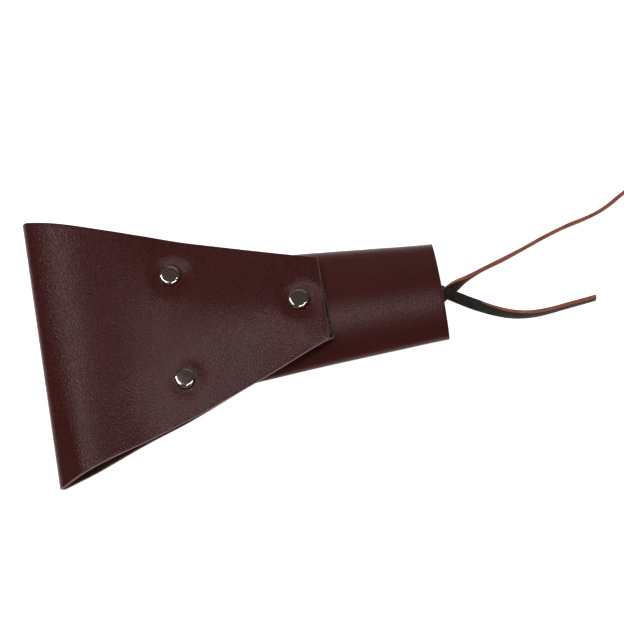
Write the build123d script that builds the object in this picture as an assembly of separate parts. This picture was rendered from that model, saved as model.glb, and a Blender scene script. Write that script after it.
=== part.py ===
"""A riveted leather belt frog: a folded belt loop, a laced tapering sleeve, three rivets and one thong.

It lies flat on a table, loop panel up and lacing down. +X runs from the belt fold to the narrow end of
the sleeve, +Y across, +Z up. The origin is on the table, under the middle of the leather. Millimetres.
"""

from build123d import *
import os
from math import atan2, cos, degrees, hypot, radians, sin, tan

# ---- driving dimensions ---------------------------------------------------------------------------
LEATHER = 1.8            # thickness of the hide that every leather piece is cut from
OVERALL = 193.0          # belt fold to the narrow rim of the sleeve
FOLD_WIDTH = 138.0       # the loop panel along its fold
TIP_WIDTH = 42.0         # the loop panel at its blunt tip
TIP_X = 137.0            # where the tip lies, from the fold
TIP_SKEW = 1.3           # the two plies were folded slightly askew: one corner short, one long
FOLD_HEIGHT = 9.6        # outside height of the belt fold
MOUTH_X = 57.5           # the sleeve's wide mouth, under the loop panel
MOUTH_TOP = 9.6          # top of the sleeve at its mouth
ROOF_SLOPE = 7.3         # degrees: the sleeve's roof and the loop panel on it rise towards the tip
PLY_GAP = 0.2            # between the two plies where they lie on each other
MEET_X = 51.5            # where the back ply comes up against the front ply
FLAT_X = 18.0            # how far from the fold the back ply lies flat on the table
BEND_X = 39.0            # where it bends most on its way up between the two
BEND_TOP = 5.9           # top of the back ply at that bend
FRONT_X = 55.0           # where the front ply takes on the slope of the roof
BEND_RADII = (36, 50, 50)
FRONT_RADIUS = 200
FOLD_EASE = 0.15         # keeps a short straight run between the two bends of the fold
FIT_GAP = 0.05           # between the loop panel and the sleeve under it
LACE_WIDTH = 5.3         # the thong
TAIL_TURN_X = 200.5      # where each tail of the thong turns up onto its edge

RIVETS = {"mouth_left": (67.2, 26.1), "mouth_right": (66.6, -26.7), "tip": (125.4, 0.9)}
CAP_D = 10.0
CAP_HEIGHT = 2.1
SOCKET_D = 4.4           # the tube inside a cap, which passes through the leather
STEM_D = 3.0             # the stem of the other half, pressed into that tube
HEAD_D = 8.0             # the head inside the sleeve
HEAD_HEIGHT = 1.2
CAP_SHOULDER = 0.85      # how far in from the cap's rim its domed face begins
CAP_SHOULDER_DROP = 0.45 # how far that is below the top of the dome
CAP_CURL = 0.5           # how far the rim curls back under
CAP_RIM_HEIGHT = 0.75    # where the cap is widest
SOCKET_FLOOR = 0.9       # the closed end of the tube, above the leather
STEM_PAST = 0.6          # how far the stem goes past the leather's grain side
STEM_CHAMFER = 0.3
PRESS = 0.02             # between the stem and the tube
HEAD_CURL = 0.4
HEAD_RIM = 0.45
HEAD_SHOULDER = 0.5
HEAD_SHOULDER_DROP = 0.25
HOLE_CLEARANCE = 0.1     # between a rivet and the hole punched for it

SEAM_HALF = 7.0          # half the open seam between the sleeve's two laced edges
LACE_ROW = 14.0          # from the middle of the seam to a row of lacing holes
LACE_HOLE_D = 6.0
LACE_PAIRS = 6
FIRST_PAIR_X = 65.5
LAST_PAIR_X = 176.0

# The sleeve's outside at four stations: x, half width, height of the widest point, half width of the
# flat roof, half width of the flat floor.
STATIONS = [
    (MOUTH_X, 34.8, 5.4, 31.6, 31.0),
    (76.0, 33.4, 6.3, 31.0, 29.0),
    (131.0, 29.2, 8.6, 8.0, 22.5),
    (OVERALL, 24.5, 7.8, 3.0, 19.0),
]
END_TOP = 17.0           # top of the sleeve at its narrow rim

# Each tail's route on the table, from its last hole, seen from above.
UPPER_ROUTE = [
    (LAST_PAIR_X, -LACE_ROW), (TAIL_TURN_X, 4.0), (213.0, 9.3), (231.0, 15.2), (248.0, 22.2),
    (265.0, 27.2), (278.0, 31.2), (290.0, 38.7), (302.0, 44.6), (314.0, 47.5),
]
LOWER_ROUTE = [
    (LAST_PAIR_X, LACE_ROW), (TAIL_TURN_X, -2.2), (213.0, -10.4), (225.0, -15.7), (238.0, -16.6),
    (252.0, -15.1), (266.0, -13.1),
]

# ---- derived --------------------------------------------------------------------------------------
PAST = 12.0                          # how far a cutting shape runs past the leather it cuts
FLOOR = LEATHER                      # the sleeve rests on one thickness of thong
INSIDE_FLOOR = FLOOR + LEATHER
RISE = tan(radians(ROOF_SLOPE))
# The loop panel's own plane: x up the slope from the mouth, z = 0 on the underside of the back ply.
PANEL = Plane(
    origin=(MOUTH_X, 0, MOUTH_TOP + FIT_GAP),
    x_dir=(cos(radians(ROOF_SLOPE)), 0, sin(radians(ROOF_SLOPE))),
    z_dir=(-sin(radians(ROOF_SLOPE)), 0, cos(radians(ROOF_SLOPE))),
)
PANEL_TOP = 2 * LEATHER + PLY_GAP    # height of the front ply's grain side in that plane
TO_ORIGIN = Pos(-OVERALL / 2, 0, 0)


def along_slope(x):
    """Distance along the panel's plane of the place that lies x from the fold."""
    return (x - MOUTH_X) / cos(radians(ROOF_SLOPE))


def roof(x):
    """Top of the sleeve, which carries the loop panel as far as the third station."""
    kink_x = STATIONS[2][0]
    kink_top = MOUTH_TOP + (min(x, kink_x) - MOUTH_X) * RISE
    if x <= kink_x:
        return kink_top
    return kink_top + (END_TOP - kink_top) * (x - kink_x) / (OVERALL - kink_x)


# ---- the loop panel -------------------------------------------------------------------------------
def loop_profile():
    """Side view of the folded panel: back ply, belt fold and front ply, one leather thick."""
    past_tip = TIP_X + PAST
    half = LEATHER / 2
    back_line = MOUTH_TOP + FIT_GAP + half / cos(radians(ROOF_SLOPE))
    front_line = back_line + (LEATHER + PLY_GAP) / cos(radians(ROOF_SLOPE))
    corners = [
        (past_tip, back_line + (past_tip - MOUTH_X) * RISE),
        (MEET_X, back_line + (MEET_X - MOUTH_X) * RISE),
        (BEND_X, BEND_TOP - half),
        (FLAT_X, half),
        (half, half),
        (half, FOLD_HEIGHT - half),
        (FRONT_X, front_line + (FRONT_X - MOUTH_X) * RISE),
        (past_tip, front_line + (past_tip - MOUTH_X) * RISE),
    ]
    fold_radius = FOLD_HEIGHT / 2 - half - FOLD_EASE
    line = FilletPolyline(*corners, radius=[*BEND_RADII, fold_radius, fold_radius, FRONT_RADIUS])
    band = offset(line, amount=half, side=Side.BOTH)
    return Plane.XZ * make_face(band)


def loop_panel():
    body = extrude(loop_profile(), amount=FOLD_WIDTH, both=True)
    taper = (FOLD_WIDTH - TIP_WIDTH) / 2 / TIP_X
    far = TIP_X + 2 * PAST
    half_far = FOLD_WIDTH / 2 - taper * far
    outline = make_face(Polyline(
        (-PAST, -FOLD_WIDTH / 2), (0, -FOLD_WIDTH / 2), (far, -half_far),
        (far, half_far), (0, FOLD_WIDTH / 2), (-PAST, FOLD_WIDTH / 2), close=True,
    ))
    body &= extrude(outline, amount=OVERALL)
    for skew, up in ((-TIP_SKEW, 1), (TIP_SKEW, -1)):
        body -= tip_cut(skew, up)
    for x, y in RIVETS.values():
        body -= rivet_hole(x, y)
    return body


def tip_cut(skew, up):
    """What is trimmed off one ply beyond the tip: the front ply for up = 1, the back ply for -1."""
    tip = along_slope(TIP_X)
    wide = FOLD_WIDTH
    shift = skew * wide / TIP_WIDTH
    edge = make_face(Polyline(
        (tip + (skew + shift) / 2, -wide / 2), (tip + 4 * PAST, -wide / 2), (tip + 4 * PAST, wide / 2),
        (tip + (skew - shift) / 2, wide / 2), close=True,
    ))
    between_plies = PANEL * Pos(0, 0, LEATHER + PLY_GAP / 2)
    return between_plies * extrude(edge, amount=2 * PAST * up)


def rivet_hole(x, y):
    """A hole through both plies and the sleeve's roof, square to the panel."""
    hole = Cylinder(SOCKET_D / 2 + HOLE_CLEARANCE, PAST)
    return PANEL * Pos(along_slope(x), y, 0) * hole


# ---- the sleeve -----------------------------------------------------------------------------------
def sleeve_section(station, inset):
    """The sleeve's cross-section, a flat floor and roof joined by quarter ellipses, moved in by inset."""
    x, half_width, widest, roof_half, floor_half = station
    low = FLOOR + inset
    high = roof(x) - inset
    wide = half_width - inset
    low_right = EllipticalCenterArc((floor_half, widest), wide - floor_half, widest - low, 270, arc_size=90)
    high_right = EllipticalCenterArc((roof_half, widest), wide - roof_half, high - widest, 0, arc_size=90)
    floor_line = Line((-floor_half, low), (floor_half, low))
    roof_line = Line((roof_half, high), (-roof_half, high))
    low_left = mirror(low_right, about=Plane.YZ)
    high_left = mirror(high_right, about=Plane.YZ)
    outline = make_face([floor_line, low_right, high_right, roof_line, high_left, low_left])
    return Plane(origin=(x, 0, 0), x_dir=(0, 1, 0), z_dir=(1, 0, 0)) * outline


def sleeve_form(inset):
    form = None
    for here, there in zip(STATIONS, STATIONS[1:]):
        piece = loft([sleeve_section(here, inset), sleeve_section(there, inset)], ruled=True)
        form = piece if form is None else form + piece
    return form


def lacing_pairs():
    step = (LAST_PAIR_X - FIRST_PAIR_X) / (LACE_PAIRS - 1)
    return [FIRST_PAIR_X + step * i for i in range(LACE_PAIRS)]


def sleeve_panel():
    shell = sleeve_form(0) - sleeve_form(LEATHER)
    middle = (MOUTH_X + OVERALL) / 2
    shell -= Pos(middle, 0, FLOOR) * Box(OVERALL, 2 * SEAM_HALF, 3 * LEATHER)
    for x in lacing_pairs():
        for side in (-1, 1):
            shell -= Pos(x, side * LACE_ROW, FLOOR) * Cylinder(LACE_HOLE_D / 2, 3 * LEATHER)
    for x, y in RIVETS.values():
        shell -= rivet_hole(x, y)
    return shell


# ---- the rivets -----------------------------------------------------------------------------------
def dome(radius, edge_z, top_z):
    """A shallow spherical crown in side view, from its edge to the rivet's axis."""
    rise = top_z - edge_z
    sphere = (radius ** 2 + rise ** 2) / (2 * rise)
    middle = (radius / 2, top_z - sphere + (sphere ** 2 - radius ** 2 / 4) ** 0.5 * (1 if rise > 0 else -1))
    return ThreePointArc((radius, edge_z), middle, (0, top_z))


def rivet_cap(x, y):
    """The outer half: a shallow domed cap with a rolled rim, and a tube down through the leather."""
    r = CAP_D / 2
    tube_end = -(PANEL_TOP + FIT_GAP + LEATHER)
    bore = STEM_D / 2 + PRESS
    with BuildSketch(Plane.XZ) as half_section:
        with BuildLine():
            shoulder = (r - CAP_SHOULDER, CAP_HEIGHT - CAP_SHOULDER_DROP)
            rim = ThreePointArc((r - CAP_CURL, 0), (r, CAP_RIM_HEIGHT), shoulder)
            crown = dome(*shoulder, CAP_HEIGHT)
            Polyline(crown @ 1, (0, SOCKET_FLOOR), (bore, SOCKET_FLOOR), (bore, tube_end),
                     (SOCKET_D / 2, tube_end), (SOCKET_D / 2, 0), rim @ 0)
        make_face()
    cap = revolve(half_section.sketch, axis=Axis.Z)
    return PANEL * Pos(along_slope(x), y, PANEL_TOP) * cap


def rivet_stud(x, y):
    """The inner half: a low head against the flesh side of the sleeve, and a stem up into the cap."""
    r = HEAD_D / 2
    with BuildSketch(Plane.XZ) as half_section:
        with BuildLine():
            shoulder = (r - HEAD_SHOULDER, -HEAD_HEIGHT + HEAD_SHOULDER_DROP)
            edge = ThreePointArc((r - HEAD_CURL, 0), (r, -HEAD_RIM), shoulder)
            face = dome(*shoulder, -HEAD_HEIGHT)
            top = PANEL_TOP + FIT_GAP + LEATHER + STEM_PAST
            Polyline(face @ 1, (0, top), (STEM_D / 2 - STEM_CHAMFER, top), (STEM_D / 2, top - STEM_CHAMFER),
                     (STEM_D / 2, 0), edge @ 0)
        make_face()
    stud = revolve(half_section.sketch, axis=Axis.Z)
    return PANEL * Pos(along_slope(x), y, -FIT_GAP - LEATHER) * stud


# ---- the thong ------------------------------------------------------------------------------------
def strand(start, end, levels):
    """A straight flat stretch between two points seen from above. levels holds (share of the way,
    underside height) pairs, so that a stretch can hump over another."""
    (x0, y0), (x1, y1) = start, end
    run = hypot(x1 - x0, y1 - y0)
    lower = [(share * run, z) for share, z in levels]
    upper = [(s, z + LEATHER) for s, z in reversed(lower)]
    side = make_face(Polyline(*lower, *upper, close=True))
    along = ((x1 - x0) / run, (y1 - y0) / run, 0)
    plane = Plane(origin=(x0, y0, 0), x_dir=along, z_dir=(along[1], -along[0], 0))
    return extrude(plane * side, amount=LACE_WIDTH / 2, both=True)


def staple(x0, x1, y):
    """The thong inside the sleeve between two holes of one row, with its ends down through them."""
    bar = strand((x0 - LEATHER / 2, y), (x1 + LEATHER / 2, y), [(0, INSIDE_FLOOR), (1, INSIDE_FLOOR)])
    for x in (x0, x1):
        bar += Pos(x, y, INSIDE_FLOOR / 2) * Box(LEATHER, LACE_WIDTH, INSIDE_FLOOR)
    return bar


def lace():
    """The held part of the thong: a bar across the first pair of holes, then straight stretches inside
    the sleeve and crossed stretches outside it by turns."""
    x = lacing_pairs()
    flat = [(0, 0), (1, 0)]
    over = LEATHER + PLY_GAP
    hump = [(0, 0), (0.33, 0), (0.42, over), (0.58, over), (0.67, 0), (1, 0)]
    reach = LACE_ROW + LEATHER / 2
    thong = strand((x[0], -reach), (x[0], reach), flat)
    for side in (-1, 1):
        for inside in range(0, LACE_PAIRS, 2):
            thong += staple(x[inside], x[inside + 1], side * LACE_ROW)
        for outside in range(1, LACE_PAIRS - 1, 2):
            ends = (x[outside], side * LACE_ROW), (x[outside + 1], -side * LACE_ROW)
            thong += strand(*ends, flat if side < 0 else hump)
    return thong


RUN_SHARE = 0.45         # how much of a run an arc at its end may take up


def path_radii(points):
    """The radius of each corner of a route, as large as its two runs allow."""
    radii = []
    for a, b, c in zip(points, points[1:], points[2:]):
        turn = degrees(atan2(c[1] - b[1], c[0] - b[0]) - atan2(b[1] - a[1], b[0] - a[0]))
        shorter = min(hypot(b[0] - a[0], b[1] - a[1]), hypot(c[0] - b[0], c[1] - b[1]))
        radii.append(RUN_SHARE * shorter / tan(radians(abs(turn)) / 2))
    return radii


def lace_tail(name, route, levels):
    """One tail: flat from its last hole to beyond the rim, then on its edge along the table."""
    flat = strand(route[0], route[1], levels)
    line = FilletPolyline(*route[1:], radius=path_radii(route[1:]))
    start = Plane(origin=(*route[1], 0), x_dir=(0, 0, 1), z_dir=line % 0)
    section = start * Pos(LACE_WIDTH / 2, 0) * Rectangle(LACE_WIDTH, LEATHER)
    edge = sweep(section, path=line)
    print(name, "radii", [round(r) for r in path_radii(route[1:])], "on-edge length",
          round(line.length, 1), "volume", round(edge.volume), "section x length",
          round(LACE_WIDTH * LEATHER * line.length))
    return flat + edge


def tail_start_trimmed(tail, side):
    """The tail begins where the thong comes out of its last hole, beside the leg of the staple."""
    leg = Pos(LAST_PAIR_X, side * LACE_ROW, 0) * Box(LEATHER, LACE_WIDTH, 4 * LEATHER)
    room = 2 * PAST
    before = Pos(LAST_PAIR_X + (LEATHER - room) / 2, side * LACE_ROW, 0) * Box(room, room, room)
    return tail - before - leg


# ---- writing the parts ----------------------------------------------------------------------------
def main():
    os.makedirs("parts", exist_ok=True)
    over = LEATHER + PLY_GAP
    parts = {
        "loop_panel": loop_panel(),
        "sleeve_panel": sleeve_panel(),
        "lace": lace(),
        "lace_tail_upper": tail_start_trimmed(
            lace_tail("upper", UPPER_ROUTE, [(0, 0), (0.5, 0), (0.7, over), (1, over)]), -1),
        "lace_tail_lower": tail_start_trimmed(
            lace_tail("lower", LOWER_ROUTE, [(0, 0), (1, 0)]), 1),
    }
    for place, (x, y) in RIVETS.items():
        parts["rivet_cap_" + place] = rivet_cap(x, y)
        parts["rivet_stud_" + place] = rivet_stud(x, y)
    for name, shape in parts.items():
        export_step(TO_ORIGIN * shape, "parts/" + name + ".step")


main()
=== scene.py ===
"""How a riveted leather belt frog looks: a folded belt loop, a laced tapering sleeve, rivets and a thong.

Lengths in this script are in millimetres with x measured from the belt fold, as the part is laid out;
to_frame() turns them into the frame's metres. Each leather piece is one thick sheet with a grain side,
a flesh side and cut edges.
"""

from math import cos, pi, radians, sin, tan

import bpy
import numpy as np
from mathutils import Matrix, Vector, noise
from mathutils.geometry import delaunay_2d_cdt
from mathutils.kdtree import KDTree


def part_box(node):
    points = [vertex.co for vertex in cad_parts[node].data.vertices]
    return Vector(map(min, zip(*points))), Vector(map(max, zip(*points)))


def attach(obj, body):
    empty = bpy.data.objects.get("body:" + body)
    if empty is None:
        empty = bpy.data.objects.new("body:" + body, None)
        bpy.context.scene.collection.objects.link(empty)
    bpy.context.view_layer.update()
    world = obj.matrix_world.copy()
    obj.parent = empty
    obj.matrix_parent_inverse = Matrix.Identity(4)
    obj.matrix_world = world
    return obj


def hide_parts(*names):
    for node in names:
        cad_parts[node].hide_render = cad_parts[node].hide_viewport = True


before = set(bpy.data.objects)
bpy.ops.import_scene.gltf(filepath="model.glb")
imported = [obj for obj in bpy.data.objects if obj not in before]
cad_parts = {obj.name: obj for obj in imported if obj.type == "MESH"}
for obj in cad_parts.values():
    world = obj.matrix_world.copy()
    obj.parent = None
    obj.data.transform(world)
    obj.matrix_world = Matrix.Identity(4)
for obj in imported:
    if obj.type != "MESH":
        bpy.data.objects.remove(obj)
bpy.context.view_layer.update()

# ---- sizes, in millimetres --------------------------------------------------------------------------
MM = 0.001
FOLD_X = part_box("loop_panel")[0].x           # the belt fold, in the frame's metres
RIM_X = (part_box("sleeve_panel")[1].x - FOLD_X) / MM
MOUTH_X = (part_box("sleeve_panel")[0].x - FOLD_X) / MM
FOLD_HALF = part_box("loop_panel")[1].y / MM
LEATHER = 1.8                                # thickness of every leather piece
TIP_X = 137.0                                # the loop panel's narrow end
TIP_HALF = 21.0                              # half its width there
TIP_SKEW = 1.3                               # the tip's -y corner: shorter in front, longer at the back
MOUTH_TOP = 9.6                              # top of the sleeve at its mouth, under the loop panel
END_TOP = 17.0                               # top of the sleeve at its rim
ROOF_SLOPE = radians(7.3)
RISE = tan(ROOF_SLOPE)
KINK_X = 131.0                               # where the roof's slope changes
PLY_STEP = 2.0                               # from the middle of one ply to the middle of the other
FIT_GAP = 0.05
PANEL_TOP = 3.8                              # the panel's grain side above its underside
RIVETS = {"mouth_left": (67.2, 26.1), "mouth_right": (66.6, -26.7), "tip": (125.4, 0.9)}
CAP_RADIUS = 5.0
SEAM_HALF = 7.0                              # half the width of the open seam under the sleeve
LACE_ROW = 14.0                              # the lacing holes' distance from the seam's middle
LACE_HOLE_RADIUS = 3.0
LACE_WIDTH = 5.3
FIRST_PAIR, PAIR_STEP, PAIR_COUNT = 65.5, 22.1, 6
PAIRS = [FIRST_PAIR + PAIR_STEP * i for i in range(PAIR_COUNT)]

# the sleeve's section at four places: x, half width, height of the widest point, half width of the floor
STATIONS = [
    (57.5, 34.8, 5.4, 31.0),
    (76.0, 33.4, 6.3, 29.0),
    (131.0, 29.2, 8.6, 22.5),
    (193.0, 24.5, 7.8, 19.0),
]


def to_frame(points):
    """Millimetres from the fold to metres in the row frame."""
    return np.asarray(points, float) * MM + (FOLD_X, 0, 0)


def smoothstep(start, end, x):
    """0 at start, 1 at end, with an easy run between."""
    t = np.clip((x - start) / (end - start), 0, 1)
    return t * t * (3 - 2 * t)


def soft_noise(points, wavelength, seed):
    """Smooth noise from about -1 to 1 at each point, with features about one wavelength across."""
    shift = Vector((seed * 17.3, seed * 5.1, seed * 9.7))
    return np.array([noise.noise(Vector(p) / wavelength + shift) for p in points])


# ---- materials --------------------------------------------------------------------------------------
class Shade:
    """A node material being put together: nodes are made by type and joined by socket name."""

    def __init__(self, name):
        self.material = bpy.data.materials.new(name)
        self.material.use_nodes = True
        self.tree = self.material.node_tree
        self.tree.nodes.clear()
        self.out = self.node("ShaderNodeOutputMaterial")
        self.surface = self.node("ShaderNodeBsdfPrincipled")
        self.join(self.surface, "BSDF", self.out, "Surface")
        self.place = self.node("ShaderNodeTexCoord")

    def node(self, kind, **inputs):
        made = self.tree.nodes.new(kind)
        for name, value in inputs.items():
            made.inputs[name.replace("_", " ")].default_value = value
        return made

    def join(self, a, out, b, into):
        self.tree.links.new(a.outputs[out], b.inputs[into])

    def noise(self, scale, detail, roughness, distortion=0.0):
        made = self.node("ShaderNodeTexNoise", Scale=scale, Detail=detail, Roughness=roughness,
                         Distortion=distortion)
        self.join(self.place, "Object", made, "Vector")
        return made

    def cells(self, scale, smoothness):
        made = self.tree.nodes.new("ShaderNodeTexVoronoi")
        made.feature = "SMOOTH_F1"
        made.inputs["Scale"].default_value = scale
        made.inputs["Smoothness"].default_value = smoothness
        self.join(self.place, "Object", made, "Vector")
        return made

    def ramp(self, source, out, stops):
        """A colour ramp over a value: stops are (position, (r, g, b))."""
        made = self.tree.nodes.new("ShaderNodeValToRGB")
        ramp = made.color_ramp
        while len(ramp.elements) < len(stops):
            ramp.elements.new(0.5)
        for element, (position, colour) in zip(ramp.elements, stops):
            element.position = position
            element.color = (*colour, 1)
        self.join(source, out, made, "Fac")
        return made

    def span(self, source, out, low, high, from_low, from_high):
        """A value carried over from one range to another."""
        made = self.node("ShaderNodeMapRange", From_Min=from_low, From_Max=from_high,
                         To_Min=low, To_Max=high)
        self.join(source, out, made, "Value")
        return made

    def maths(self, operation, a, a_out, b, b_out=None):
        """A sum or product of two node outputs, or of an output and the number b."""
        made = self.tree.nodes.new("ShaderNodeMath")
        made.operation = operation
        self.tree.links.new(a.outputs[a_out], made.inputs[0])
        if isinstance(b, (int, float)):
            made.inputs[1].default_value = b
        else:
            self.tree.links.new(b.outputs[b_out], made.inputs[1])
        return made

    def product(self, a, b):
        """Two colours multiplied."""
        made = self.tree.nodes.new("ShaderNodeMix")
        made.data_type = "RGBA"
        made.blend_type = "MULTIPLY"
        share, colour_a, colour_b = made.inputs[0], made.inputs[6], made.inputs[7]
        share.default_value = 1.0
        self.tree.links.new(a.outputs["Color"], colour_a)
        self.tree.links.new(b.outputs["Color"], colour_b)
        return made

    def bump(self, heights, strength):
        """Bump from a list of (node, output, height in metres) stacked on one another."""
        last = None
        for node, out, height in heights:
            made = self.node("ShaderNodeBump", Strength=strength, Distance=height)
            self.join(node, out, made, "Height")
            if last is not None:
                self.join(last, "Normal", made, "Normal")
            last = made
        self.join(last, "Normal", self.surface, "Normal")

    def set(self, **inputs):
        for name, value in inputs.items():
            self.surface.inputs[name.replace("_", " ")].default_value = value


def burgundy_grain(name, light, dark, depth, shiny, dull):
    """Fine pebbled grain, oiled: dark red-brown with a dull satin sheen. light and dark are the colours
    of the pebbles and of the creases over the base colour: partly grain tone, partly a painted greyish
    highlight on the pebbles and painted shade in the creases. depth is the height of the grain in metres,
    shiny and dull are the roughness of the pebbles and of the creases."""
    s = Shade(name)
    cloud = s.noise(scale=38, detail=4, roughness=0.6)
    pebble = s.cells(scale=1450, smoothness=0.3)
    fine = s.noise(scale=2600, detail=2, roughness=0.5)
    base = s.ramp(cloud, "Fac", [(0.3, (0.078, 0.0145, 0.0115)), (0.7, (0.090, 0.0190, 0.0158))])
    middle, crease = 0.1, 0.75        # distances from a pebble's middle
    # pebbles lighter and greyer, creases darker: partly grain tone, partly painted highlight and painted
    # shade
    grain_tone_and_sheen = s.ramp(pebble, "Distance", [(middle, light), (crease, dark)])
    s.join(s.product(base, grain_tone_and_sheen), "Result", s.surface, "Base Color")
    height = s.span(pebble, "Distance", low=1.0, high=0.0, from_low=0.05, from_high=0.8)
    rough = s.span(pebble, "Distance", low=shiny, high=dull, from_low=middle, from_high=crease)
    s.join(rough, "Result", s.surface, "Roughness")
    fine_depth = 0.000008
    s.bump([(height, "Result", depth), (fine, "Fac", fine_depth)], strength=1.0)
    s.set(Specular_IOR_Level=0.26, Specular_Tint=(1.0, 0.82, 0.87, 1))
    return s.material


def flesh_side(name, dark, light):
    """The fibrous inner side of the hide."""
    s = Shade(name)
    fibre = s.noise(scale=900, detail=5, roughness=0.7, distortion=0.6)
    cloud = s.noise(scale=120, detail=3, roughness=0.6)
    both = s.maths("MULTIPLY", fibre, "Fac", cloud, "Fac")
    colour = s.ramp(both, "Value", [(0.12, dark), (0.42, light)])
    s.join(colour, "Color", s.surface, "Base Color")
    nap = 0.00015
    s.bump([(fibre, "Fac", nap)], strength=0.7)
    s.set(Roughness=0.85, Specular_IOR_Level=0.3)
    return s.material


def cut_edge(name, dark, light):
    """A cut edge: layered fibres, lighter than the grain side."""
    s = Shade(name)
    fibre = s.noise(scale=1500, detail=4, roughness=0.65, distortion=0.4)
    cloud = s.noise(scale=170, detail=2, roughness=0.5)
    both = s.maths("ADD", fibre, "Fac", cloud, "Fac")
    mean = s.maths("MULTIPLY", both, "Value", 0.5)
    colour = s.ramp(mean, "Value", [(0.34, dark), (0.64, light)])
    s.join(colour, "Color", s.surface, "Base Color")
    fibre_height = 0.00008
    s.bump([(fibre, "Fac", fibre_height)], strength=0.6)
    s.set(Roughness=0.62)
    return s.material


def nickel():
    """Polished nickel plate, warm and slightly cloudy."""
    s = Shade("nickel plate")
    cloud = s.noise(scale=420, detail=4, roughness=0.6)
    low, high = 0.3, 0.7
    tint = s.ramp(cloud, "Fac", [(low, (0.41, 0.31, 0.25)), (high, (0.47, 0.37, 0.30))])
    s.join(tint, "Color", s.surface, "Base Color")
    rough = s.span(cloud, "Fac", low=0.07, high=0.09, from_low=low, from_high=high)
    s.join(rough, "Result", s.surface, "Roughness")
    s.set(Metallic=1.0)
    return s.material


PEBBLED = burgundy_grain("pebbled burgundy grain", light=(1.60, 1.75, 1.90), dark=(0.56, 0.44, 0.42),
                         depth=0.00007, shiny=0.15, dull=0.34)
SMOOTH = burgundy_grain("smooth burgundy grain", light=(1.20, 1.24, 1.26), dark=(0.86, 0.80, 0.80),
                        depth=0.00003, shiny=0.22, dull=0.40)
FLESH = flesh_side("black flesh side", dark=(0.100, 0.054, 0.042), light=(0.260, 0.140, 0.108))
EDGE = cut_edge("burgundy cut edge", dark=(0.115, 0.042, 0.036), light=(0.230, 0.105, 0.100))
THONG_FLESH = flesh_side("thong flesh side", dark=(0.014, 0.012, 0.010), light=(0.055, 0.050, 0.043))
THONG_EDGE = cut_edge("thong cut edge", dark=(0.360, 0.085, 0.048), light=(0.680, 0.215, 0.120))
NICKEL = nickel()


# ---- meshes -----------------------------------------------------------------------------------------
def add_mesh(name, points, faces, materials, slots):
    """A smooth mesh piece on the root body, from points in millimetres."""
    mesh = bpy.data.meshes.new(name)
    mesh.from_pydata([tuple(p) for p in to_frame(points)], [], faces)
    for material in materials:
        mesh.materials.append(material)
    mesh.polygons.foreach_set("material_index", np.asarray(slots, np.int32))
    mesh.shade_smooth()
    mesh.validate()
    piece = bpy.data.objects.new(name, mesh)
    bpy.context.scene.collection.objects.link(piece)
    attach(piece, "root")
    return piece


def spaced_loop(corners, spacing):
    """Points about spacing apart round a closed polygon, its corners among them."""
    points = []
    for a, b in zip(corners, np.roll(corners, -1, axis=0)):
        count = max(1, round(float(np.hypot(*(b - a))) / spacing))
        points += [a + (b - a) * i / count for i in range(count)]
    return np.array(points)


def inward_steps(loop):
    """For each point of a closed counter-clockwise loop, the step inward that keeps its edges parallel."""
    ahead = np.roll(loop, -1, axis=0) - loop
    ahead /= np.linalg.norm(ahead, axis=1)[:, None]
    left = np.stack([-ahead[:, 1], ahead[:, 0]], axis=1)
    both = left + np.roll(left, 1, axis=0)
    sharpest = 0.3           # keeps the step short at sharp corners
    return both / np.maximum((both * left).sum(1), sharpest)[:, None]


def crosses_inside(points, loop):
    """Which points lie inside a closed loop."""
    inside = np.zeros(len(points), bool)
    x, y = points[:, 0], points[:, 1]
    for (ax, ay), (bx, by) in zip(loop, np.roll(loop, -1, axis=0)):
        if ay == by:
            continue
        spans = (ay > y) != (by > y)
        inside ^= spans & (x < (bx - ax) * (y - ay) / (by - ay) + ax)
    return inside


RIVET_HOLE = 2.3         # radius of the holes for the rivets' stems
HOLE_POINTS = 28
PUCKER_RINGS = (3.4, 4.3, 4.9, 5.3, 5.8, 6.5, 7.4, 8.5, 9.8)    # radii of extra points round a rivet hole
RING_POINTS = 39         # points in each of these rings
RING_GAP = 0.6           # clear space outside the last ring
RIM_SPACING = 1.3        # between points along a cut edge
GRID_SPACING = 1.6       # between points across a leather face
CLEARANCE = 0.55         # least distance of a face's points from its edges
EDGE_ROUND = 0.28        # how far a cut edge's corners are rounded
ROUND_STEPS = 3          # flat steps in a rounded corner


def edge_rows(top, bottom):
    """(inset, height) of the rows of points from the rim of the grain face to the rim of the flesh face."""
    turns = [pi / 2 * i / ROUND_STEPS for i in range(ROUND_STEPS + 1)]
    upper = [(EDGE_ROUND * (1 - sin(t)), top - EDGE_ROUND * (1 - cos(t))) for t in turns]
    lower = [(inset, bottom + top - height) for inset, height in reversed(upper)]
    return upper + lower


def face_grid(outline, holes, rims):
    """Flat points spread over a leather face in staggered rows, with rings round the rivet holes."""
    rim_points = np.concatenate(rims)
    tree = KDTree(len(rim_points))
    for i, (u, v) in enumerate(rim_points):
        tree.insert((u, v, 0), i)
    tree.balance()
    low, high = outline.min(0), outline.max(0)
    rows = np.arange(low[1], high[1], GRID_SPACING * sin(pi / 3))
    columns = np.arange(low[0], high[0], GRID_SPACING)
    shift = (0, GRID_SPACING / 2)
    grid = np.array([(u + shift[j % 2], v) for j, v in enumerate(rows) for u in columns])
    turns = np.linspace(0, 2 * pi, RING_POINTS + 1)[1:]
    rings = np.array([(r * cos(t), r * sin(t)) for r in PUCKER_RINGS for t in turns])
    for (cu, cv), radius in holes:
        if radius == RIVET_HOLE:
            grid = grid[np.hypot(grid[:, 0] - cu, grid[:, 1] - cv) > PUCKER_RINGS[-1] + RING_GAP]
            grid = np.concatenate([grid, rings + (cu, cv)])
    clear = np.array([tree.find((u, v, 0))[2] > CLEARANCE for u, v in grid])
    clear &= crosses_inside(grid, rims[0])
    for (cu, cv), radius in holes:
        clear &= np.hypot(grid[:, 0] - cu, grid[:, 1] - cv) > radius + EDGE_ROUND
    return grid[clear]


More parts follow.
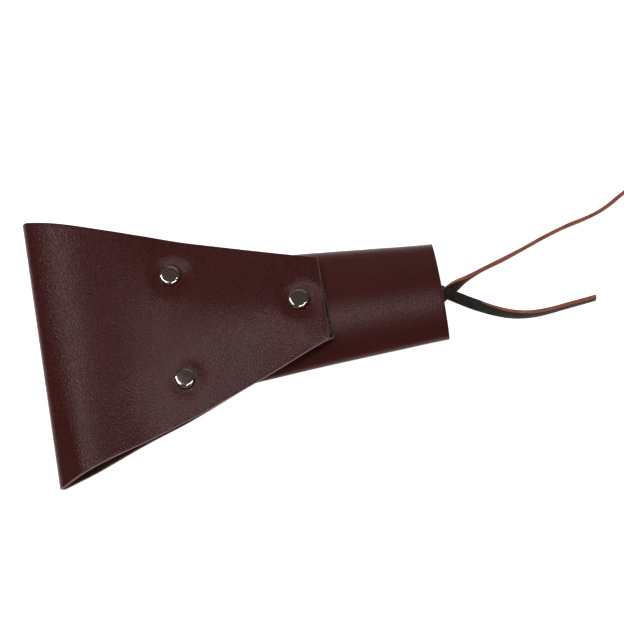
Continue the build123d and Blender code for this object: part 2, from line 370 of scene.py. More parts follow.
def triangulated(rims, grid):
    """Flat triangles between the rims of a face's outline and holes: the points, the triangles, and
    the new number of each rim point."""
    edges, start = [], 0
    for rim in rims:
        edges += [(start + i, start + (i + 1) % len(rim)) for i in range(len(rim))]
        start += len(rim)
    flat = [Vector(p) for p in np.concatenate(rims + [grid])]
    inside_only, same_place = 1, 1e-6
    made, _, triangles, origin, _, _ = delaunay_2d_cdt(flat, edges, [], inside_only, same_place)
    made = np.array([tuple(p) for p in made])
    triangles = np.array([tuple(t) for t in triangles])
    middles = made[triangles].mean(1)
    keep = np.ones(len(triangles), bool)
    for rim in rims[1:]:
        keep &= ~crosses_inside(middles, rim)
    where = {old: new for new, olds in enumerate(origin) for old in olds}
    return made, triangles[keep], where


def band(lower, upper):
    """Four-sided faces between two closed rows of points."""
    size = len(lower)
    return [(lower[i], upper[i], upper[(i + 1) % size], lower[(i + 1) % size]) for i in range(size)]


def thick_sheet(name, outline, holes, surface, top, grain, shaded_flesh, shaded_edge):
    """A leather piece. outline is a counter-clockwise loop of flat points, holes are (centre, radius),
    surface turns flat points into places and normals, and top is the height of the grain face along the
    normal. shaded_flesh and shaded_edge pick out flat points: where the flesh side next to the cut edge is
    painted near-black as shade in the gap between the plies, and where the cut edge is painted as dark as
    the flesh side as shade."""
    loops = [outline]
    for (cu, cv), radius in holes:
        turns = np.linspace(0, -2 * pi, HOLE_POINTS, endpoint=False)
        loops.append(np.stack([cu + radius * np.cos(turns), cv + radius * np.sin(turns)], axis=1))
    steps = [inward_steps(loop) for loop in loops]
    rims = [loop + EDGE_ROUND * step for loop, step in zip(loops, steps)]
    made, triangles, where = triangulated(rims, face_grid(outline, holes, rims))

    bottom = top - LEATHER
    places, normals = surface(made)
    points = [places + normals * top, places + normals * bottom]
    n = len(made)
    faces = [tuple(t) for t in triangles] + [(c + n, b + n, a + n) for a, b, c in triangles]
    # the last slot is near-black: painted shade on the flesh side at the tip, in the gap between the plies
    grain_slot, flesh_slot, edge_slot, shade_slot = 0, 1, 2, 3
    at_rim = (triangles < sum(len(rim) for rim in rims)).any(1)
    shaded_rim = shaded_flesh(made[triangles].mean(1)) & at_rim
    slots = [grain_slot] * len(triangles) + list(np.where(shaded_rim, shade_slot, flesh_slot))
    count, start = 2 * n, 0
    for loop, step in zip(loops, steps):
        first = [where[start + i] for i in range(len(loop))]
        # painted shade: the cut edge takes the flesh colour where shaded_edge picks it out
        edge_slots = list(np.where(shaded_edge(loop), flesh_slot, edge_slot))
        previous = first
        for inset, height in edge_rows(top, bottom)[1:-1]:
            at, normal = surface(loop + step * inset)
            points.append(at + normal * height)
            row = [count + i for i in range(len(loop))]
            faces += band(previous, row)
            slots += edge_slots
            previous = row
            count += len(loop)
        faces += band(previous, [i + n for i in first])
        slots += edge_slots
        start += len(loop)
    return add_mesh(name, np.concatenate(points), faces, [grain, FLESH, EDGE, THONG_FLESH], slots)


def with_normals(place):
    """A surface function from a place function: normals come from places near enough to a point."""
    near = 0.2

    def surface(flat):
        du = place(flat + (near, 0)) - place(flat - (near, 0))
        dv = place(flat + (0, near)) - place(flat - (0, near))
        normal = np.cross(du, dv)
        return place(flat), normal / np.linalg.norm(normal, axis=1)[:, None]
    return surface


# ---- the sleeve's section ---------------------------------------------------------------------------
BLEND = np.linspace(-9.0, 9.0, 9)    # steps along x over which the stations' corners are smoothed


def station(x):
    """Half width, widest height and floor half width at x, smoothly between the stations."""
    xs = [s[0] for s in STATIONS]
    values = []
    for k in range(1, 4):
        known = [s[k] for s in STATIONS]
        values.append(np.mean([np.interp(x + step, xs, known) for step in BLEND], axis=0))
    return values


def roof(x):
    """Height of the roof's middle line, straight to the kink and straight on to the rim."""
    kink_top = MOUTH_TOP + (KINK_X - MOUTH_X) * RISE
    line = MOUTH_TOP + (np.minimum(x, KINK_X) - MOUTH_X) * RISE
    return line + (END_TOP - kink_top) * np.maximum(x - KINK_X, 0) / (RIM_X - KINK_X)


def smooth_roof(x):
    return np.mean([roof(x + step) for step in BLEND], axis=0)


PUCKER_REACH = 3.8       # how far round a cap the leather is drawn down
PUCKERS = {"mouth_left": 0.7, "mouth_right": 0.14, "tip": 0.7}    # how deep
PUFF = 0.55              # how far the front ply stands off the back ply between the rivets
CROWN = 0.6              # how far the middle of the roof stands above the line between the rivets
CROWN_END = (84, 122)    # where along x the crown dies out
ARCH = (1.7, 0.6)        # the powers that shape the arch of the roof
ARCH_SOFT = 0.004        # how soft the top of the arch is
ARCH_RATIO = 0.33        # height over half width of an ordinary section
# where the panel leaves the roof, as (x, share of the half width), on the +y and the -y side
LEAVE_NORTH = ((66, 0.54), (104, 0.40), (131, 0.30))
LEAVE_SOUTH = ((66, 0.70), (100, 0.44), (125, 0.06))


def arch(share):
    """Height of the roof's arch, from 1 at the middle to 0 at the widest point."""
    inner, outer = ARCH
    rounded_share = np.sqrt(np.clip(share, 0, 1) ** 2 + ARCH_SOFT)
    return np.clip(1 - np.minimum(rounded_share, 1) ** inner, 0, 1) ** outer


def crown_top(x):
    return smooth_roof(x) + CROWN * (1 - smoothstep(*CROWN_END, x))


def sleeve_top(x, y):
    half, widest, _ = station(x)
    return widest + (crown_top(x) - widest) * arch(np.abs(y) / half)


def drape(x, y):
    """How far the loop panel lies below its straight line: it follows the roof's arch near the middle
    and runs on straight to its edges."""
    x = np.maximum(x, MOUTH_X)
    half = station(x)[0]
    leave = half * np.where(y < 0, np.interp(x, *zip(*LEAVE_SOUTH)), np.interp(x, *zip(*LEAVE_NORTH)))
    near = 0.05
    slope = (sleeve_top(x, leave - near) - sleeve_top(x, leave + near)) / (2 * near)
    past = np.maximum(np.abs(y) - leave, 0)
    return smooth_roof(x) - sleeve_top(x, np.minimum(np.abs(y), leave)) + slope * past


def pucker(x, y):
    """How far the leather is drawn down round the rivets, and how clear of them it is, 0 to 1."""
    depth, clear = 0.0, 1.0
    for place, (rx, ry) in RIVETS.items():
        past = np.maximum(np.hypot(x - rx, y - ry) - CAP_RADIUS, 0)
        near = np.exp(-(past / PUCKER_REACH) ** 2)
        depth = depth + PUCKERS[place] * near
        clear = clear * (1 - near)
    return depth, clear


def arch_table():
    """Share of the half width against share of the distance round the roof, and that distance over the
    diagonal of the half width and the height, for an arch of ordinary proportions."""
    steps = 200
    share = np.sin(np.linspace(0, pi / 2, steps))
    height = ARCH_RATIO * arch(share)
    along = np.concatenate([[0], np.cumsum(np.hypot(np.diff(share), np.diff(height)))])
    return share, along / along[-1], along[-1] / np.hypot(1, ARCH_RATIO)


ARCH_SHARE, ARCH_ALONG, ARCH_LENGTH = arch_table()


def section_runs(x):
    """Flat distances round the section at x, from the middle of the roof: to the widest point and to the
    floor's edge; then the floor's half width, and the half width, the inward run and the fall from the
    widest point to the floor, and the height of the widest point."""
    half, widest, floor_half = station(x)
    rise = crown_top(x) - widest
    inward, fall = half - floor_half, widest - LEATHER
    first = ARCH_LENGTH * np.hypot(half, rise)
    second = first + pi / 2 * np.sqrt((inward ** 2 + fall ** 2) / 2)
    return first, second, floor_half, (half, inward, fall, widest)


# ---- the loop panel ---------------------------------------------------------------------------------
def rounded(corners, radii, spacing):
    """Points along straight runs joined by tangent arcs. Where there is one radius too few, the last
    corner before the end only aims the run that leaves the corner before it."""
    corners = np.array(corners, float)
    points = [corners[0]]
    for a, b, c, radius in zip(corners, corners[1:], corners[2:], radii):
        to_a, to_c = (a - b) / np.linalg.norm(a - b), (c - b) / np.linalg.norm(c - b)
        half = np.arccos(np.clip(to_a @ to_c, -1, 1)) / 2
        middle = b + (to_a + to_c) / np.linalg.norm(to_a + to_c) * radius / sin(half)
        begin, end = b + to_a * radius / tan(half), b + to_c * radius / tan(half)
        count = max(4, int(radius * (pi - 2 * half) / spacing))
        for i in range(count + 1):
            arm = (begin - middle) * (1 - i / count) + (end - middle) * i / count
            points.append(middle + arm / np.linalg.norm(arm) * radius)
    points.append(corners[-1])
    return np.array(points)


def even(points, spacing):
    """The same line with evenly spaced points, and the distance of each along it."""
    steps = np.linalg.norm(np.diff(points, axis=0), axis=1)
    along = np.concatenate([[0], np.cumsum(steps)])
    at = np.arange(0, along[-1], spacing)
    return np.stack([np.interp(at, along, points[:, k]) for k in range(points.shape[1])], axis=1), at


def softened(points, spacing, width):
    """A line smoothed over about width millimetres, its ends left in place."""
    reach = int(3 * width / spacing)
    kernel = np.exp(-0.5 * (np.arange(-reach, reach + 1) * spacing / width) ** 2)
    kernel /= kernel.sum()
    lead = points[0] - (points[1] - points[0]) * np.arange(reach, 0, -1)[:, None]
    tail = points[-1] + (points[-1] - points[-2]) * np.arange(1, reach + 1)[:, None]
    longer = np.concatenate([lead, points, tail])
    return np.stack([np.convolve(longer[:, k], kernel, "valid") for k in range(points.shape[1])], axis=1)


HALF = LEATHER / 2
PAST = TIP_X + 12        # the panel's line runs on beyond the tip, and the outline cuts it
BACK_MOUTH = MOUTH_TOP + FIT_GAP + HALF / cos(ROOF_SLOPE)      # height of the back ply at the mouth
FRONT_MOUTH = BACK_MOUTH + PLY_STEP / cos(ROOF_SLOPE)
LINE_SPACING = 0.4
LINE_SOFTNESS = 1.6
# corners of the panel's side view at mid thickness as (x, z, radius): the back ply comes down from the
# tip to the ground, the belt fold stands up from it, and the front ply swells and runs on to the tip;
# the ends and the corner that only aims a run have no radius
LOOP_CORNERS = [
    (PAST, BACK_MOUTH + (PAST - MOUTH_X) * RISE, None),
    (51.5, BACK_MOUTH + (51.5 - MOUTH_X) * RISE, 36),
    (39.0, 5.0, 50),
    (18.0, HALF, 50),
    (HALF, HALF, 1.4),
    (HALF, 3.5, 2.2),
    (4.5, 5.4, 20),
    (8.5, 7.2, 25),
    (13.0, 8.8, 25),
    (18.0, 9.95, 35),
    (24.0, 10.7, 70),
    (33.0, 11.0, 120),
    (41.0, 11.2, 150),
    (49.0, 11.65, 150),
    (57.5, 12.45, 200),
    (68.0, FRONT_MOUTH + (68.0 - MOUTH_X) * RISE, None),
    (PAST, FRONT_MOUTH + (PAST - MOUTH_X) * RISE, None),
]


def loop_line():
    """Side view of the folded panel's mid thickness: distance from the fold (negative along the back
    ply), x and z."""
    corners = [(x, z) for x, z, _ in LOOP_CORNERS]
    radii = [radius for _, _, radius in LOOP_CORNERS if radius]
    line, _ = even(rounded(corners, radii, LINE_SPACING), LINE_SPACING)
    line, at = even(softened(line, LINE_SPACING, LINE_SOFTNESS), LINE_SPACING)
    return at - at[np.argmin(line[:, 0])], line[:, 0], line[:, 1]


LINE_U, LINE_X, LINE_Z = loop_line()


def u_at(x, side):
    """Distance from the fold of the place at x, on the front ply for side 1 and the back ply for -1."""
    on = LINE_U * side > 0
    order = np.argsort(LINE_X[on])
    return np.interp(x, LINE_X[on][order], LINE_U[on][order])


def panel_half(x):
    return FOLD_HALF - (FOLD_HALF - TIP_HALF) / TIP_X * np.maximum(x, 0)


# where along x, or y, each change of the panel's height begins and ends
FOLD_TURN = (0, 9)                           # distance from the fold over which the front ply takes over
FRONT_DROP_END = 79                          # the front ply follows the roof from this x on
FRONT_DROP_START = 26                        # it starts to at this x for y = 0,
START_LEAN, LEAN_WIDTH = 14, 14              # and up to START_LEAN earlier or later on the -y or +y side
BACK_DROP = (36, 60)
PUFF_GROWS = (36, 66)
LIFT_GROWS, LIFT_FADES = (0, 14), (28, 58)
LIFT_SLOPE, LIFT_TURN = 0.011, 8.0           # the belt loop's -y half stands a little higher
CORNER_LIFT = 1.1                            # how far the tip's -y corner curls up
CORNER_X, CORNER_Y = (98, 136), (4, -20)


def panel_place(flat):
    """The place of flat points of the loop panel, whose first value is the distance from the fold."""
    u, y = flat[:, 0], flat[:, 1]
    x, z = np.interp(u, LINE_U, LINE_X), np.interp(u, LINE_U, LINE_Z)
    front = smoothstep(*FOLD_TURN, u)
    drop = drape(x, y)
    drop_start = FRONT_DROP_START + START_LEAN * np.tanh(y / LEAN_WIDTH)
    front_drop = drop * smoothstep(drop_start, FRONT_DROP_END, x)
    back_drop = drop * smoothstep(*BACK_DROP, x)
    lift = LIFT_SLOPE * (np.sqrt(y ** 2 + LIFT_TURN ** 2) - y)
    lift *= smoothstep(*LIFT_GROWS, x) * (1 - smoothstep(*LIFT_FADES, x))
    drawn, clear = pucker(x, y)
    puff = PUFF * clear * smoothstep(*PUFF_GROWS, x)
    corner = CORNER_LIFT * smoothstep(*CORNER_X, x) * smoothstep(*CORNER_Y, y)
    z = z - drawn + front * (lift + puff + corner - front_drop) - (1 - front) * back_drop
    return np.stack([x, y, z], axis=1)


BACK_INSET = 1.1         # how far the back ply's edge lies inside the front ply's near the tip, for y < 0
INSET_GROWS = (-60, -110)                    # distance from the fold, along the back ply


def panel_outline(spacing):
    """The flat outline of the panel: distance from the fold against y."""
    front_tip, back_tip = u_at(TIP_X, 1), u_at(TIP_X, -1)
    steps = 60
    sides = np.linspace(back_tip, front_tip, steps)[1:-1]
    half = panel_half(np.interp(sides, LINE_U, LINE_X))
    inset = BACK_INSET * smoothstep(*INSET_GROWS, sides)
    corners = [(front_tip - TIP_SKEW, -TIP_HALF), (front_tip, TIP_HALF)]
    corners += [(u, w) for u, w in zip(sides[::-1], half[::-1])]
    corners += [(back_tip, TIP_HALF), (back_tip - TIP_SKEW, BACK_INSET - TIP_HALF)]
    corners += [(u, -w) for u, w in zip(sides, half - inset)]
    return spaced_loop(np.array(corners), spacing)


SHADED_TIP = 4.0           # how far the near-black painted shade of the gap between the plies runs onto the flesh side from the tip's cut edge
SHADED_BACK = -12.0        # distance from the fold beyond which the back ply's cut edge is painted dark as shade


# flat points at the tip whose flesh side next to the cut edge gets painted shade
def at_tip(flat):
    return np.abs(flat[:, 0]) > float(u_at(TIP_X, 1)) - SHADED_TIP


# flat points on the back ply past the fold, whose cut edge is painted dark as shade
def on_back(flat):
    return flat[:, 0] < SHADED_BACK


def nowhere(flat):
    return np.zeros(len(flat), bool)


def make_loop_panel():
    holes = []
    for x, y in RIVETS.values():
        holes += [((float(u_at(x, 1)), y), RIVET_HOLE), ((float(u_at(x, -1)), y), RIVET_HOLE)]
    piece = thick_sheet("loop_panel_leather", panel_outline(RIM_SPACING), holes, with_normals(panel_place),
                        HALF, PEBBLED, at_tip, on_back)
    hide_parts("loop_panel")


# ---- the sleeve -------------------------------------------------------------------------------------
def sleeve_place(flat):
    """The place of flat points of the sleeve, whose second value is the distance round the section from
    the middle of the roof."""
    x, around = flat[:, 0], flat[:, 1]
    side, t = np.sign(around), np.abs(around)
    first, second, _, (half, inward, fall, widest) = section_runs(x)
    over = half * np.interp(t / first, ARCH_ALONG, ARCH_SHARE)
    lower = np.clip((t - first) / (second - first), 0, 1) * pi / 2
    y = np.where(t < first, over, half - inward * (1 - np.cos(lower)) - np.maximum(t - second, 0)) * side
    pressed = sleeve_top(x, y) - pucker(x, y)[0]
    z = np.where(t < first, pressed, widest - fall * np.sin(lower))
    return np.stack([x, y, z], axis=1)


def roof_flat(x, y):
    """The flat point of a place on the sleeve's roof."""
    first, _, _, (half, _, _, _) = section_runs(np.array([x]))
    return x, float(np.sign(y) * first[0] * np.interp(abs(y) / half[0], ARCH_SHARE, ARCH_ALONG))


def floor_flat(x, y):
    """The flat point of a place on the sleeve's floor."""
    _, second, floor_half, _ = section_runs(np.array([x]))
    return x, float(np.sign(y) * (second[0] + floor_half[0] - abs(y)))


def sleeve_outline(spacing):
    """The flat outline of the sleeve: x against the distance round the section."""
    steps = 50
    xs = np.linspace(MOUTH_X, RIM_X, steps)
    _, second, floor_half, _ = section_runs(xs)
    edge = second + floor_half - SEAM_HALF
    corners = [(x, -e) for x, e in zip(xs, edge)] + [(x, e) for x, e in zip(xs[::-1], edge[::-1])]
    return spaced_loop(np.array(corners), spacing)


def make_sleeve_panel():
    holes = [(floor_flat(x, side * LACE_ROW), LACE_HOLE_RADIUS) for x in PAIRS for side in (-1, 1)]
    holes += [(roof_flat(x, y), RIVET_HOLE) for x, y in RIVETS.values()]
    piece = thick_sheet("sleeve_panel_leather", sleeve_outline(RIM_SPACING), holes,
                        with_normals(sleeve_place), 0.0, SMOOTH, nowhere, nowhere)
    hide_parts("sleeve_panel")


# ---- the rivets -------------------------------------------------------------------------------------
AROUND = 96              # points round a rivet
NICK_WIDTH = 0.075       # in radians
NICK_GROWS = (3.6, 4.7)  # radius from which, and up to which, the nick deepens
NICK_FOOT = 0.3          # the nick stops this high above the leather
CAP_PROFILE = [
    (0.0, 2.1), (1.2, 2.098), (2.4, 2.09), (3.2, 2.078), (3.6, 2.062), (3.95, 2.03), (4.25, 1.965),
    (4.52, 1.87), (4.72, 1.75), (4.85, 1.58), (4.94, 1.35), (4.98, 1.05), (5.0, 0.6),
    (4.97, 0.2), (4.8, 0.0), (0.0, 0.0),
]
CAP_BASE = FIT_GAP + PANEL_TOP
STEM_TOP = FIT_GAP + PANEL_TOP + LEATHER
STUD_PROFILE = [
    (0.0, STEM_TOP), (1.5, STEM_TOP), (1.5, 0.0), (3.6, 0.0), (3.85, -0.12), (4.0, -0.45),
    (3.85, -0.75), (3.5, -0.95), (2.4, -1.08), (1.2, -1.17), (0.0, -1.2),
]


def rivet_part(kind, place, profile, rise, nick_at=0.0, nick_depth=0.0):
    """A round part turned from a (radius, height) profile that starts and ends on its axis, standing on
    the roof with its height 0 at rise above the sleeve's grain side."""
    x, y = RIVETS[place]
    ring = len(profile) - 2
    points, faces = [], []
    for i in range(AROUND):
        angle = 2 * pi * i / AROUND
        away = np.angle(np.exp(1j * (angle - nick_at)))
        nick = nick_depth * np.exp(-(away / NICK_WIDTH) ** 2)
        for r, h in profile[1:-1]:
            rim = smoothstep(*NICK_GROWS, r) * (h > NICK_FOOT)
            radius = r - nick * rim
            points.append((radius * cos(angle), radius * sin(angle), h - nick * rim / 2))
        j = (i + 1) % AROUND
        faces.append((AROUND * ring, i * ring, j * ring))
        faces += [(i * ring + k, i * ring + k + 1, j * ring + k + 1, j * ring + k) for k in range(ring - 1)]
        faces.append((i * ring + ring - 1, AROUND * ring + 1, j * ring + ring - 1))
    points = np.array(points + [(0, 0, profile[0][1]), (0, 0, profile[-1][1])])
    up = np.array([-sin(ROOF_SLOPE), 0, cos(ROOF_SLOPE)])
    slope = np.array([cos(ROOF_SLOPE), 0, sin(ROOF_SLOPE)])
    across = np.array([0, 1.0, 0])
    lowered = float(drape(np.array([x]), np.array([y]))[0]) + PUCKERS[place]
    base = np.array([MOUTH_X, y, MOUTH_TOP - lowered]) + slope * (x - MOUTH_X) / cos(ROOF_SLOPE) + up * rise
    world = base + points[:, :1] * slope + points[:, 1:2] * across + points[:, 2:] * up
    piece = add_mesh(kind + "_" + place, world, faces, [NICKEL], [0] * len(faces))
    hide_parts("rivet_" + kind + "_" + place)


def make_rivet(place, nick_at):
    """A shallow cap with a rounded shoulder, a rolled rim and a nick from the setting tool, and the stud
    under it."""
    rivet_part("cap", place, CAP_PROFILE, CAP_BASE, nick_at, nick_depth=0.22)
    rivet_part("stud", place, STUD_PROFILE, -LEATHER)


# ---- the thong --------------------------------------------------------------------------------------
def nurbs_line(name, points):
    """The points of a smooth line whose control points are given, in metres in the row frame."""
    curve = bpy.data.curves.new(name, "CURVE")
    curve.dimensions = "3D"
    curve.resolution_u = 16
    spline = curve.splines.new("NURBS")
    spline.points.add(len(points) - 1)
    for target, point in zip(spline.points, points):
        target.co = (*point, 1)
    spline.order_u = 3
    spline.use_endpoint_u = True
    holder = bpy.data.objects.new(name, curve)
    bpy.context.scene.collection.objects.link(holder)
    bpy.context.view_layer.update()
    mesh = bpy.data.meshes.new_from_object(holder)
    line = np.array([tuple(v.co) for v in mesh.vertices])
    bpy.data.objects.remove(holder)
    bpy.data.curves.remove(curve)
    bpy.data.meshes.remove(mesh)
    return line


STRAP_BEVEL = 0.22       # how far the thong's corners are cut off
WOBBLE_LENGTH = 7.0      # the thong's hand-cut width wanders over about this length
WOBBLE = 0.10            # and by this much
ALL_ALONG = -1e9         # a shade_until that lies before any strap's start, so the light edge gets no painted shade


def strap(line, across, width, thickness, seed, shade_until=ALL_ALONG):
    """A flat strap round a line in metres. across holds the direction of its width at each point; its
    flesh side faces ahead x across. The edge that across points to is light from shade_until on, in the
    frame's millimetres of x, and painted as dark as the flesh side before it, as shade; the other edge is
    dark all along."""
    ahead = np.gradient(line, axis=0)
    ahead /= np.linalg.norm(ahead, axis=1)[:, None]
    wide = across - (across * ahead).sum(1)[:, None] * ahead
    wide /= np.linalg.norm(wide, axis=1)[:, None]
    face = np.cross(ahead, wide)
    w, t, b = width / 2, thickness / 2, STRAP_BEVEL
    corners = [(w - b, t), (w, t - b), (w, -t + b), (w - b, -t)]
    section = [corners[0]] + [(-s, h) for s, h in corners] + corners[:0:-1]
    section_slots = [0, 0, 0, 0, 2, 1, 1, 1]
    wobble = soft_noise(line / MM, WOBBLE_LENGTH, seed) * WOBBLE
    rows, n = [], len(section)
    for k, (s, h) in enumerate(section):
        grown = s + np.sign(s) * wobble
        rows.append(line / MM + wide * grown[:, None] + face * h)
    points = np.stack(rows, axis=1)
    points[:, :, 2] += np.maximum(-points[:, :, 2].min(1), 0)[:, None]
    points = points.reshape(-1, 3)
    faces, slots = [], []
    first_edge = 5
    for i in range(len(line) - 1):
        # painted shade: before shade_until the light edge takes the dark flesh colour, where the tails lie
        # in the fork's shade
        dark = line[i, 0] / MM <= shade_until
        for k in range(n):
            a, c = i * n + k, i * n + (k + 1) % n
            faces.append((a, c, c + n, a + n))
            slots.append(0 if dark and k >= first_edge else section_slots[k])
    last = (len(line) - 1) * n
    faces += [tuple(reversed(range(n))), tuple(last + k for k in range(n))]
    slots += [1, 1]
    points = points - np.array([FOLD_X / MM, 0, 0])
    return points, faces, slots


def turned(angles):
    """Width directions across a line that runs mostly along +x, for the lean of the flesh side: 90
    degrees faces up, 0 faces -y."""
    lean = np.radians(angles)
    return np.stack([np.zeros(len(lean)), np.sin(lean), np.cos(lean)], axis=1)


TURN = 3.0               # run of the lacing over which it turns into and out of a hole
HOLE_DIP = 0.3           # how far inside a hole the thong's turns begin and end
HOLE_SHIFT = 0.2         # the thong slants this far along x in a hole
CROSSING_GAP = 0.2       # clear space between the two thongs where they cross
# where a thong rises over the other one: share of the way across the seam, and share of the full rise
CROSSING = ((0.14, 0), (0.34, 0.1), (0.5, 1), (0.66, 0.1), (0.86, 0))
LACE_SPACING = 0.5
LACE_SOFTNESS = 0.7
LACE_THICKNESS = LEATHER - 0.05


def lacing_line(side):
    """Half of the lacing, from the middle of the first bar: outside at the bar and where it crosses the
    seam, inside along the rows. Gives its points and the direction of its width at each."""
    low, high = LEATHER / 2, 3 * LEATHER / 2 + LEATHER
    x = PAIRS
    along, across = (1.0, 0.0, 0.0), (0.0, 1.0, 0.0)
    stops = [((x[0], 0, low), along), ((x[0], side * (LACE_ROW - TURN), low), along)]
    for i in range(0, len(x), 2):
        y = side * LACE_ROW
        row = [(x[i], low + HOLE_DIP), (x[i] + HOLE_SHIFT, high - HOLE_DIP), (x[i] + TURN, high),
               (x[i + 1] - TURN, high), (x[i + 1] - HOLE_SHIFT, high - HOLE_DIP), (x[i + 1], low + HOLE_DIP)]
        stops += [((at, y, z), across) for at, z in row]
        if i + 2 < len(x):
            step = np.array([x[i + 2] - x[i + 1], -2 * y, 0])
            wide = np.array([-step[1], step[0], 0])
            over = LEATHER + CROSSING_GAP if side > 0 else 0.0
            for share, rise in CROSSING:
                place = np.array([x[i + 1], y, low + over * rise]) + step * share
                stops.append((place, wide / np.linalg.norm(wide)))
        side = -side
    points = np.array([np.concatenate([p, w]) for p, w in stops])
    steps = np.concatenate([[0], np.cumsum(np.linalg.norm(np.diff(points[:, :3], axis=0), axis=1))])
    at = np.arange(0, steps[-1], LACE_SPACING)
    line = np.stack([np.interp(at, steps, points[:, k]) for k in range(6)], axis=1)
    line = softened(line, LACE_SPACING, LACE_SOFTNESS)
    return line[:, :3], line[:, 3:]


def make_lacing():
    """The held part of the thong: two strips that start together at the middle of the first bar."""
    points, faces, slots = [], [], []
    for side in (-1, 1):
        line, wide = lacing_line(side)
        seed = 5 + side
        strip, strip_faces, strip_slots = strap(to_frame(line), wide, LACE_WIDTH, LACE_THICKNESS, seed)
        start = sum(len(p) for p in points)
        points.append(strip)
        faces += [tuple(start + v for v in face) for face in strip_faces]
        slots += strip_slots
    piece = add_mesh("thong_lacing", np.concatenate(points), faces, [THONG_FLESH, THONG_EDGE, THONG_EDGE],
                     slots)
    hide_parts("lace")


# each tail: control points of its line in metres, with x from the fold, and the lean of its flesh side
# along x, as (x, degrees)
UPPER_LINE = [
    (0.1770, -0.0137, 0.0009), (0.1860, -0.0072, 0.0012), (0.1935, -0.0010, 0.0029),
    (0.2005, 0.0034, 0.0030), (0.2075, 0.0068, 0.0027), (0.2160, 0.0102, 0.0026),
    (0.2270, 0.0138, 0.0026), (0.2380, 0.0180, 0.0026), (0.2480, 0.0221, 0.0026),
    (0.2590, 0.0258, 0.0026), (0.2700, 0.0284, 0.0026), (0.2790, 0.0318, 0.0026),
    (0.2880, 0.0376, 0.0026), (0.2980, 0.0432, 0.0026), (0.3060, 0.0459, 0.0026),
    (0.3135, 0.0474, 0.0026),
]
UPPER_LEAN = [(176, 90), (196, 72), (201, 40), (205, 4), (210, -12), (216, -17), (224, -14), (232, -17),
              (240, -21), (254, -21), (262, -17), (272, -20), (314, -21)]
LOWER_LINE = [
    (0.1770, 0.0137, 0.0009), (0.1850, 0.0084, 0.0009), (0.1940, 0.0026, 0.0009),
    (0.2010, -0.0024, 0.0014), (0.2090, -0.0074, 0.0017), (0.2170, -0.0120, 0.0022),
    (0.2250, -0.0152, 0.0026), (0.2340, -0.0167, 0.0027), (0.2430, -0.0162, 0.0027),
    (0.2520, -0.0149, 0.0027), (0.2595, -0.0140, 0.0027), (0.2660, -0.0131, 0.0027),
]
LOWER_LEAN = [(176, 90), (194, 84), (202, 68), (208, 62), (213, 46), (218, 30), (223, 21), (229, 11),
              (235, 3), (246, -3), (266, -5)]


def make_tail(name, node, route, leans, seed, shade_until):
    """A free end of the thong. Its upper edge is light from shade_until on, in millimetres of x; before it,
    where the tail leaves the rim, it is painted dark as shade.
    """
    line = nurbs_line(name + "_line", [(x + FOLD_X, y, z) for x, y, z in route])
    lean = np.interp((line[:, 0] - FOLD_X) / MM, *zip(*leans))
    around = 4
    kernel = np.ones(2 * around + 1) / (2 * around + 1)
    lean = np.convolve(np.pad(lean, around, mode="edge"), kernel, "valid")
    across = turned(lean)
    points, faces, slots = strap(line, across, LACE_WIDTH, LEATHER, seed, shade_until + FOLD_X / MM)
    piece = add_mesh(name, points, faces, [THONG_FLESH, THONG_EDGE, THONG_EDGE], slots)
    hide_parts(node)


# ---- light, floor and camera ------------------------------------------------------------------------
LIGHT_COLOUR = (1.0, 0.985, 0.97)
SIDE_LIGHT = 0.4         # a light counts as one from the side from this size of its direction's x on


def area_light(name, direction, distance, size, watts, target):
    """A rectangular light. The first of its two sizes lies along x, or level for a light from the side."""
    data = bpy.data.lights.new(name, "AREA")
    data.shape = "RECTANGLE"
    data.size, data.size_y = size
    data.energy = watts
    data.color = LIGHT_COLOUR
    lamp = bpy.data.objects.new(name, data)
    away = Vector(direction).normalized()
    ahead = Vector((1, 0, 0))
    if abs(away.x) >= SIDE_LIGHT:
        ahead = Vector((-away.y, away.x, 0)).normalized()
    wide = (ahead - away * ahead.dot(away)).normalized()
    lamp.location = target + away * distance
    lamp.rotation_euler = Matrix((wide, away.cross(wide), away)).transposed().to_euler()
    bpy.context.scene.collection.objects.link(lamp)


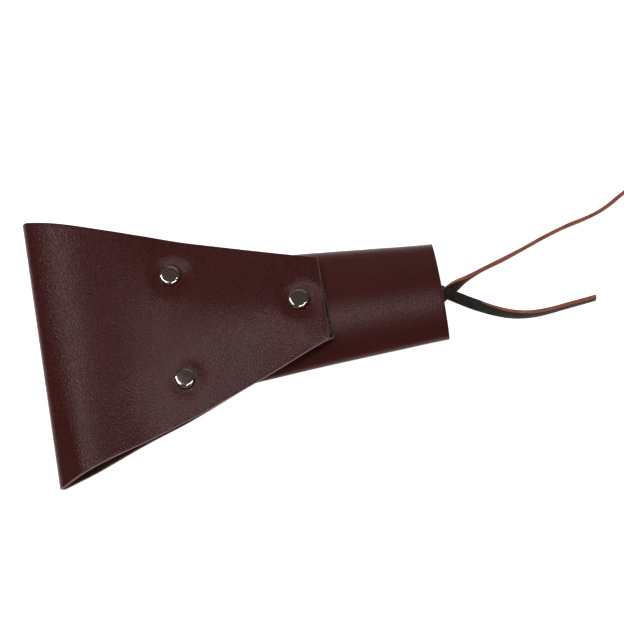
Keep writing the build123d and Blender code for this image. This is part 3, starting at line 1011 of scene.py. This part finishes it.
def make_floor():
    """A self-lit white floor, as wide as any view of the part."""
    mesh = bpy.data.meshes.new("floor")
    far = 3.0
    mesh.from_pydata([(-far, -far, 0), (far, -far, 0), (far, far, 0), (-far, far, 0)], [], [(0, 1, 2, 3)])
    floor = bpy.data.objects.new("floor", mesh)
    bpy.context.scene.collection.objects.link(floor)
    s = Shade("pale floor")
    s.set(Base_Color=(0.9, 0.9, 0.9, 1), Roughness=0.8, Emission_Color=(1, 1, 1, 1), Emission_Strength=1.0)
    mesh.materials.append(s.material)


def make_world():
    world = bpy.data.worlds.new("studio")
    world.use_nodes = True
    ground = world.node_tree.nodes["Background"]
    ground.inputs["Color"].default_value = (0.95, 0.97, 1.0, 1)
    ground.inputs["Strength"].default_value = 0.10
    bpy.context.scene.world = world


def make_camera(target, azimuth, elevation, distance):
    """A long lens that looks at target: azimuth is turned from -y towards +x, elevation is above the
    floor."""
    data = bpy.data.cameras.new("camera")
    data.lens = 200
    data.sensor_width = 36
    data.clip_start, data.clip_end = 0.1, 20
    camera = bpy.data.objects.new("camera", data)
    away = Vector((sin(azimuth) * cos(elevation), -cos(azimuth) * cos(elevation), sin(elevation)))
    camera.location = target + away * distance
    camera.rotation_mode = "QUATERNION"
    camera.rotation_quaternion = away.to_track_quat("Z", "Y")
    bpy.context.scene.collection.objects.link(camera)
    bpy.context.scene.camera = camera


# ---- the scene --------------------------------------------------------------------------------------
make_loop_panel()
make_sleeve_panel()
for place, nick_at in (("mouth_left", -38), ("mouth_right", -68), ("tip", -52)):
    make_rivet(place, radians(nick_at))
make_tail("thong_tail_upper", "lace_tail_upper", UPPER_LINE, UPPER_LEAN,
          seed=3, shade_until=192)
make_tail("thong_tail_lower", "lace_tail_lower", LOWER_LINE, LOWER_LEAN,
          seed=8, shade_until=211)
make_lacing()

make_floor()
make_world()
middle = Vector((0.04, 0, 0))
area_light("key", (-0.027, 0.012, 1.0), distance=1.5, size=(0.62, 0.22), watts=4.8, target=middle)
area_light("left", (-0.46, 0.352, 0.81), distance=1.26, size=(0.08, 0.50), watts=2.4, target=middle)
area_light("fill", (0.15, 0.80, 0.60), distance=1.5, size=(1.2, 0.8), watts=0.8, target=middle)
make_camera(Vector((FOLD_X + 0.13048, -0.00245, 0.012)), radians(-9.21), radians(68), 1.6429)
bpy.context.scene.view_settings.view_transform = "Standard"
